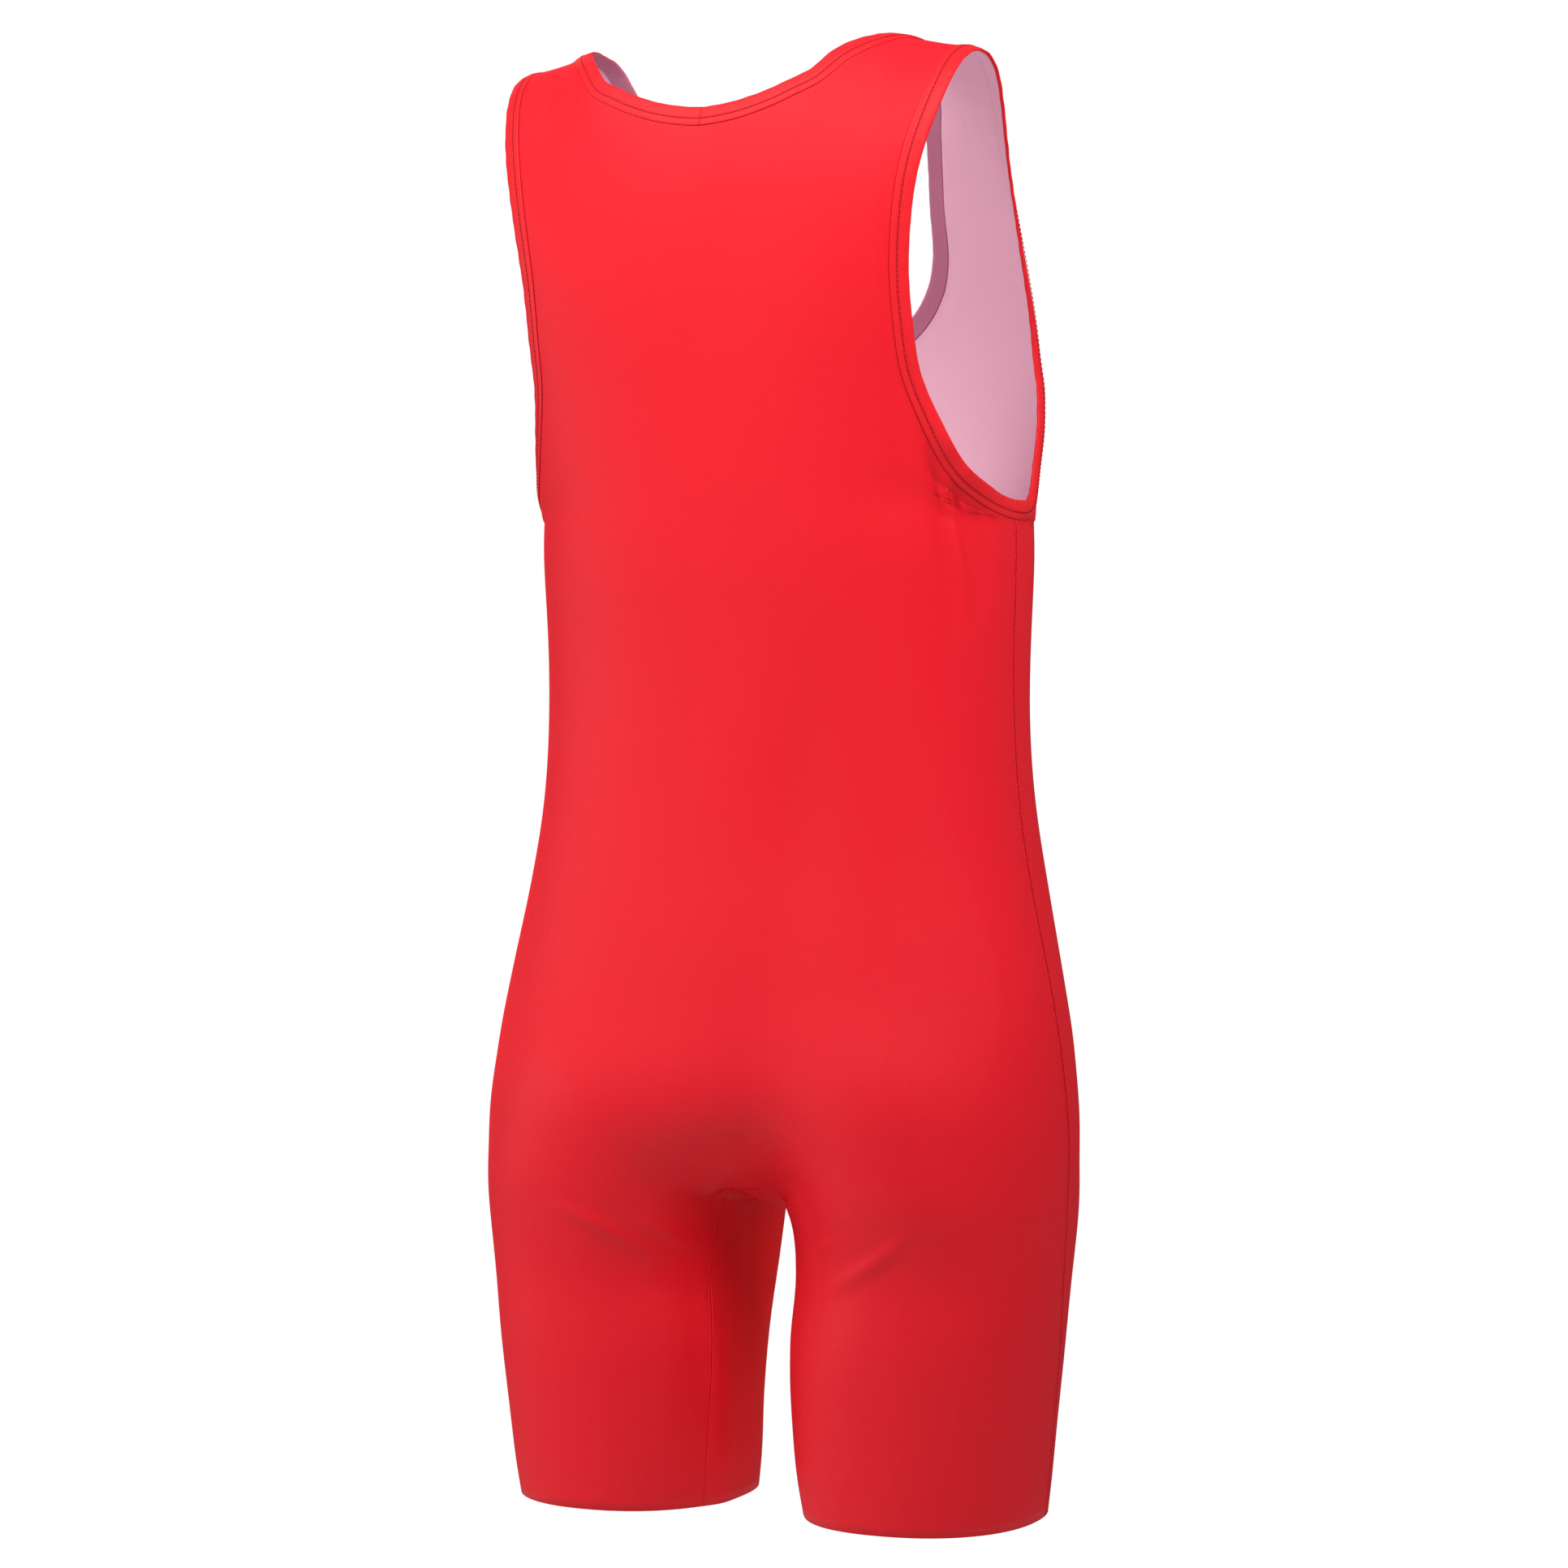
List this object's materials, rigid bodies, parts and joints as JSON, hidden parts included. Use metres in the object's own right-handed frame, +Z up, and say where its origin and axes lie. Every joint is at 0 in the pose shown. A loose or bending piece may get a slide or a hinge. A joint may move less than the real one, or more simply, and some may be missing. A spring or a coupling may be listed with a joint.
{
  "type": "wrestling singlet",
  "caption": "One-piece sleeveless stretch suit with a scooped neck, deep armholes and short fitted legs, hollow as worn.",
  "frame": {"origin": "in the centre plane of the garment, at the height where the straps lie on the wearer's shoulders", "axes": "+Z up along the worn garment, -Y out of its front, +X to the wearer's left"},
  "size_m": [0.3628, 0.2397, 0.8534],
  "materials": {
    "cloth": "smooth satin stretch knit, red outside, pale pink inside",
    "binding": "folded satin stretch knit, red"
  },
  "bodies": {
    "root": {"back": "cloth", "front": "cloth", "neck_binding": "binding", "armhole_binding_left": "binding", "armhole_binding_right": "binding"}
  },
  "joints": []
}
